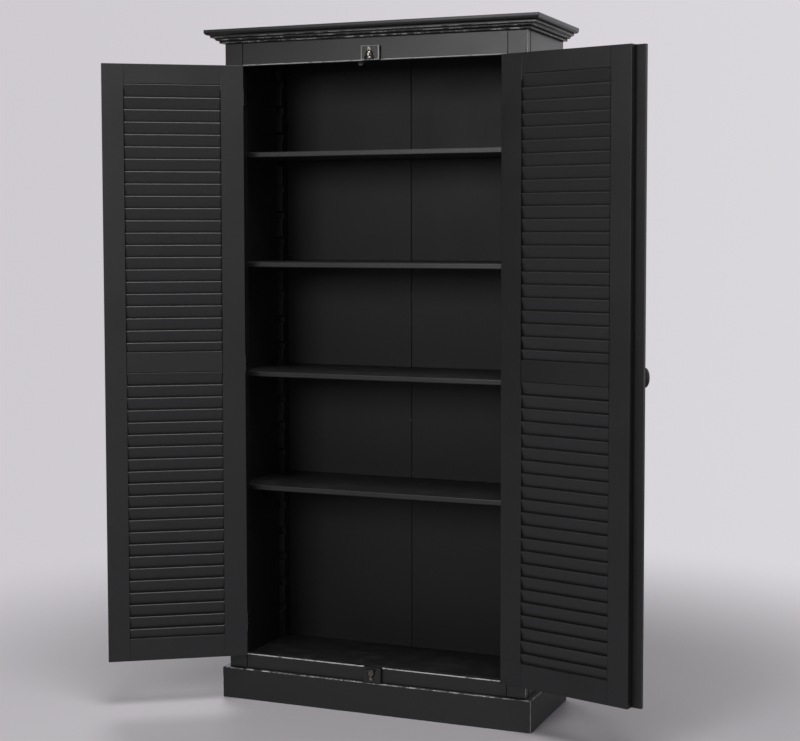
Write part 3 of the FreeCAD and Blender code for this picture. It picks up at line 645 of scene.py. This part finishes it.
def joint_width(node, out):
    """How far a joint's groove reaches into this piece, by the face that shows it."""
    carcass_side = node.endswith(("side_panel", "face_stile"))
    if carcass_side and abs(out.x) > abs(out.y):
        return SIDE_JOINT_WIDTH
    if node.endswith("face_stile") or node.startswith("face_"):
        return FACE_JOINT_WIDTH
    return JOINT_WIDTH


def edge_width(edge, node):
    """Width of an edge's bevel, and whether it is a joint rather than an open arris."""
    if not is_corner(edge) or edge.calc_length() < SHORTEST_ARRIS:
        return 0.0, False
    shown = [loop.face for loop in edge.link_loops if face_shows(loop, node)]
    if len(shown) == 2:
        return (WIDE_ARRIS if node in WIDE_ARRIS_NODES else ARRIS_WIDTH), False
    # the plinth's upright mitres are rounded over like open arrises
    along = edge.verts[1].co - edge.verts[0].co
    if len(shown) == 1 and node.startswith("plinth") and abs(along.z) > abs(along.x):
        return ARRIS_WIDTH, False
    if len(shown) == 1 and edge.calc_length() > SHORTEST_JOINT:
        return joint_width(node, shown[0].normal), True
    return 0.0, False


def nearest_on_edge(point, start, end):
    """The point of a straight edge that lies nearest to the given one."""
    foot, share = intersect_point_line(point, start, end)
    if share < 0.0:
        return start
    return end if share > 1.0 else foot


class EdgeFinder:
    """Finds the bevelled edge that a face of the bevelled mesh came from."""

    def __init__(self):
        self.edges = []
        self.points = []

    def add(self, edge, width, joint):
        start, end = [vert.co.copy() for vert in edge.verts]
        steps = math.ceil((end - start).length / TREE_SPACING)
        for step in range(steps + 1):
            self.points.append((start.lerp(end, step / steps), len(self.edges)))
        self.edges.append((start, end, width, joint))

    def build(self):
        self.tree = KDTree(len(self.points))
        for place, index in self.points:
            self.tree.insert(place, index)
        self.tree.balance()

    def source(self, face):
        """Says "joint" or "arris" if every corner of the face lies on one edge's bevel."""
        if not self.points:
            return None
        nearest = self.tree.find(face.calc_center_median())[1]
        start, end, width, joint = self.edges[nearest]
        # a face joint's groove widens where it runs into a wider one
        reach = (WIDEST if joint and width >= FACE_JOINT_WIDTH else width) * STRIP_SLACK
        for vert in face.verts:
            if (vert.co - nearest_on_edge(vert.co, start, end)).length > reach:
                return None
        return "joint" if joint else "arris"


# ---------------------------------------------------------------- mesh helpers

def link_piece(name, mesh, node):
    """A new piece that stands for one CAD node and moves with its body."""
    piece = bpy.data.objects.new(name, mesh)
    bpy.context.scene.collection.objects.link(piece)
    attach(piece, BODY_OF[node])
    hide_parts(node)
    return piece


def islands(bm):
    """The separate solids of a mesh, each as a list of its vertices."""
    left, found = set(bm.verts), []
    for seed in bm.verts:
        if seed not in left:
            continue
        left.discard(seed)
        group, front = [seed], [seed]
        while front:
            vert = front.pop()
            for edge in vert.link_edges:
                other = edge.other_vert(vert)
                if other in left:
                    left.discard(other)
                    group.append(other)
                    front.append(other)
        found.append(group)
    return found


def board_axes(group):
    """Directions along, across and out of a board, from its longest edge and largest face."""
    longest = max((e for v in group for e in v.link_edges), key=lambda e: e.calc_length())
    along = (longest.verts[1].co - longest.verts[0].co).normalized()
    largest = max((f for v in group for f in v.link_faces), key=lambda f: f.calc_area())
    out = largest.normal
    return along, out.cross(along).normalized(), out


def write_grain(bm):
    """Stores each point's place along, across and out of its own board, shifted at random."""
    layer = bm.verts.layers.float_vector.new("grain")
    for group in islands(bm):
        axes = board_axes(group)
        offset = Vector([rng.uniform(0.0, GRAIN_SHIFT) for _ in range(3)])
        for vert in group:
            vert[layer] = Vector([axis.dot(vert.co) for axis in axes]) + offset


def edge_wear(node):
    """How far the edges of a piece are rubbed through."""
    if node.endswith("slats"):
        return SLAT_WEAR
    if BODY_OF[node].endswith("door") and node != "astragal":
        return DOOR_WEAR
    return next((wear for start, wear in EDGE_WEAR.items() if node.startswith(start)),
                PLAIN_WEAR)


def pale_moulding_face(face, node, foot):
    """True on the plinth's upward-sloping top faces and on the crown's lowest bead, which get
    the pale flecked colour of the rubbed edges.
    """
    if node.startswith("plinth"):
        return PLINTH_ARRIS[0] < face.normal.z < PLINTH_ARRIS[1]
    in_bead = node.startswith("crown") and face.calc_center_median().z < foot + BEAD_HEIGHT
    return in_bead and face.normal.z > BEAD_UNDERSIDE


def mark_edges(bm, node, finder):
    """Gives joints their painted shade and marks rounded arrises as rubbed, less at their
    borders.
    """
    layer = bm.loops.layers.float.new("wear")
    amount = edge_wear(node)
    foot = min(vert.co.z for vert in bm.verts)
    sources = {face: finder.source(face) for face in bm.faces}
    for face in bm.faces:
        if sources[face] is None and pale_moulding_face(face, node, foot):
            sources[face] = "arris"
    for face, source in sources.items():
        if source == "joint":
            face.material_index = GROOVE
        elif source == "arris":
            for loop in face.loops:
                inner = all(sources[other] == "arris" for other in loop.vert.link_faces)
                loop[layer] = amount if inner else amount * BORDER_WEAR


def shade(bm):
    for face in bm.faces:
        face.smooth = True
    for edge in bm.edges:
        edge.smooth = not edge.is_manifold or edge.calc_face_angle() < SHARP


def keep_flats(piece):
    """Keeps flat faces flat where they meet smooth rounded edges."""
    modifier = piece.modifiers.new("flats", "WEIGHTED_NORMAL")
    modifier.weight = FLAT_WEIGHT
    modifier.keep_sharp = True


# ---------------------------------------------------------------- wooden pieces

def add_bevel(piece, width, steps, clamp):
    """A bevel on the marked edges; each edge's weight is its share of the width."""
    bevel = piece.modifiers.new("rounding", "BEVEL")
    bevel.limit_method = "WEIGHT"
    bevel.edge_weight = "rounding"
    bevel.width = width
    bevel.segments = steps
    bevel.use_clamp_overlap = clamp


def wooden_draft(node):
    """The board with its open edges marked for rounding and its joints for a groove."""
    bm = bare_mesh(node)
    split_long_edges(bm, node)
    layer = bm.edges.layers.float.new("rounding")
    finder = EdgeFinder()
    for edge in bm.edges:
        width, joint = edge_width(edge, node)
        edge[layer] = width / WIDEST
        if width > 0.0:
            finder.add(edge, width, joint)
    finder.build()
    piece = link_piece(node + "_wood", finished_mesh(bm, node + "_wood"), node)
    add_bevel(piece, WIDEST, BEVEL_STEPS, False)
    return piece, finder


def wooden_finish(piece, node, finder, rounded):
    """Takes the rounded mesh, adds its grain and wear, and paints it."""
    bm = bmesh.new()
    bm.from_mesh(rounded)
    write_grain(bm)
    mark_edges(bm, node, finder)
    shade(bm)
    grooved = any(face.material_index == GROOVE for face in bm.faces)
    mesh = finished_mesh(bm, node + "_board")
    mesh.materials.append(material_of(node))
    if grooved:
        mesh.materials.append(JOINT_SHADE_PAINT)
    piece.modifiers.clear()
    piece.data = mesh
    keep_flats(piece)


def wooden_pieces():
    nodes = [node for node in sorted(frame["nodes"]) if SLOT_OF[node] in PAINTED]
    drafts = {node: wooden_draft(node) for node in nodes}
    graph = bpy.context.evaluated_depsgraph_get()
    graph.update()
    for node, (piece, finder) in drafts.items():
        rounded = bpy.data.meshes.new_from_object(piece.evaluated_get(graph))
        wooden_finish(piece, node, finder, rounded)


# ---------------------------------------------------------------- metal pieces

def metal_piece(node, ease):
    """A metal part with its sharp edges eased."""
    bm = bare_mesh(node)
    layer = bm.edges.layers.float.new("rounding")
    for edge in bm.edges:
        edge[layer] = 1.0 if is_corner(edge) else 0.0
    shade(bm)
    mesh = finished_mesh(bm, node + "_metal")
    mesh.materials.append(material_of(node))
    piece = link_piece(node + "_metal", mesh, node)
    add_bevel(piece, ease, METAL_STEPS, True)
    keep_flats(piece)


def far_faces(group, far):
    """The faces round a screw's farthest point."""
    near = [vert for vert in group if (vert.co - far).length < SCREW_TIP_REACH]
    return [face for vert in near for face in vert.link_faces]


def screw_place(group):
    """A point on a screw's axis, the axis, and where the screw starts and ends on it."""
    middle = sum((v.co for v in group), Vector()) / len(group)
    far = max(group, key=lambda v: (v.co - middle).length).co
    tip_face = max(far_faces(group, far), key=lambda f: f.calc_area())
    axis = tip_face.normal.copy()
    spans = [v.co.dot(axis) for v in group]
    low, high = min(spans), max(spans)
    foot = middle - axis * middle.dot(axis)
    return foot, axis, low, high


def head_radius(group, foot, axis, level):
    """Radius of a screw at one end of its axis."""
    near = [v.co for v in group if abs(v.co.dot(axis) - level) < SCREW_LEVEL_REACH]
    return max((co - foot - axis * co.dot(axis)).length for co in near)


def slot_cutter(bm, centre, axis, radius):
    """A box across a screw's head, turned at random and half sunk into it."""
    side = axis.orthogonal().normalized()
    side.rotate(Matrix.Rotation(rng.uniform(0.0, math.pi), 3, axis))
    across = axis.cross(side)
    size = Matrix.Diagonal((radius * SLOT_LENGTH, SLOT_WIDTH, SLOT_DEPTH * 2, 1.0))
    turn = Matrix((side, across, axis)).transposed().to_4x4()
    bmesh.ops.create_cube(bm, size=1.0, matrix=Matrix.Translation(centre) @ turn @ size)


def screw_piece(node):
    """Countersunk screws with a slot cut across each head."""
    bm = bare_mesh(node)
    cutters = bmesh.new()
    for group in islands(bm):
        foot, axis, low, high = screw_place(group)
        radii = {level: head_radius(group, foot, axis, level) for level in (low, high)}
        level = max(radii, key=radii.get)
        slot_cutter(cutters, foot + axis * level, axis, radii[level])
    shade(bm)
    mesh = finished_mesh(bm, node + "_metal")
    mesh.materials.append(material_of(node))
    piece = link_piece(node + "_metal", mesh, node)
    tool = bpy.data.objects.new(node + "_slots", finished_mesh(cutters, node + "_slots"))
    bpy.context.scene.collection.objects.link(tool)
    slots = piece.modifiers.new("slots", "BOOLEAN")
    slots.operation = "DIFFERENCE"
    slots.solver = "EXACT"
    slots.object = tool
    graph = bpy.context.evaluated_depsgraph_get()
    graph.update()
    piece.data = bpy.data.meshes.new_from_object(piece.evaluated_get(graph))
    piece.modifiers.clear()
    bpy.data.objects.remove(tool)


def metal_pieces():
    for node in sorted(frame["nodes"]):
        if SLOT_OF[node] in PAINTED:
            continue
        if node.endswith("screws"):
            screw_piece(node)
        else:
            metal_piece(node, OWN_EASE.get(node, METAL_EASE))


# ---------------------------------------------------------------- the whole scene

def main():
    bpy.context.scene.view_settings.view_transform = "Standard"
    add_camera()
    for name, (place, size, power) in SOFTBOXES.items():
        add_area_light(name, place, size, power)
    make_world()
    make_floor()
    wooden_pieces()
    metal_pieces()


main()
